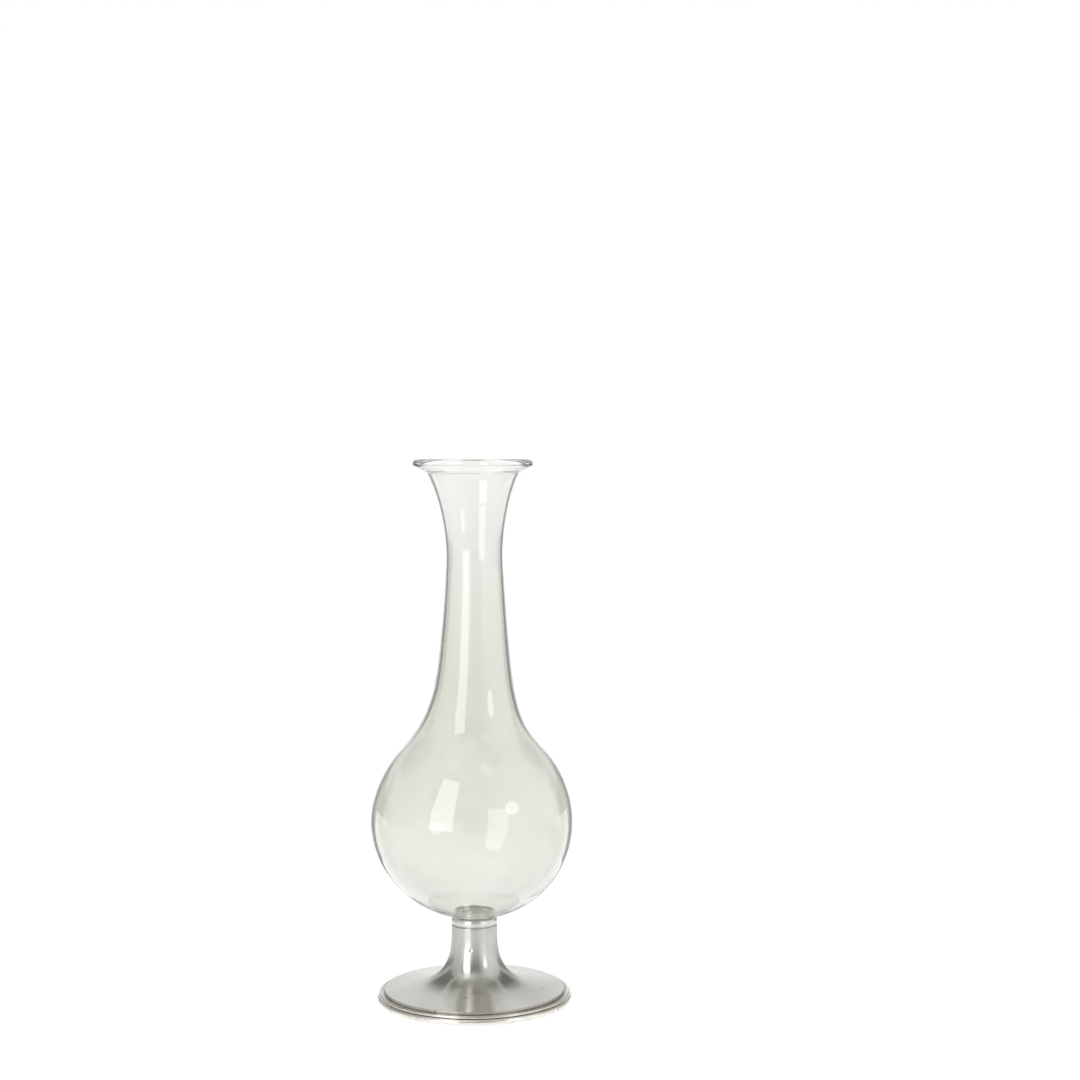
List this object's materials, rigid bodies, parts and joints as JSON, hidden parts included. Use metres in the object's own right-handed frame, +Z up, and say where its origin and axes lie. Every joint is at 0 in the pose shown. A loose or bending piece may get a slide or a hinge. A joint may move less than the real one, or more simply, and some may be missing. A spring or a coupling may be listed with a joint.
{
  "type": "bud vase",
  "caption": "Tall bud vase: blown-glass bottle with a round bulb, slim neck and flared rolled lip, seated in a collar on a low pewter trumpet foot.",
  "frame": {"origin": "centre of the foot's underside, on the plane that the vase stands on", "axes": "+Z up along the axis of revolution; +X and +Y are free, because every piece is round about Z"},
  "size_m": [0.082, 0.082, 0.22],
  "materials": {
    "glass": "polished",
    "adhesive": "matte",
    "pewter": "satin"
  },
  "bodies": {
    "root": {"glass_vessel": "glass", "adhesive_bed": "adhesive", "collar": "pewter", "stem": "pewter", "foot_plate": "pewter", "edge_ridge": "pewter", "foot_ring": "pewter"}
  },
  "joints": []
}
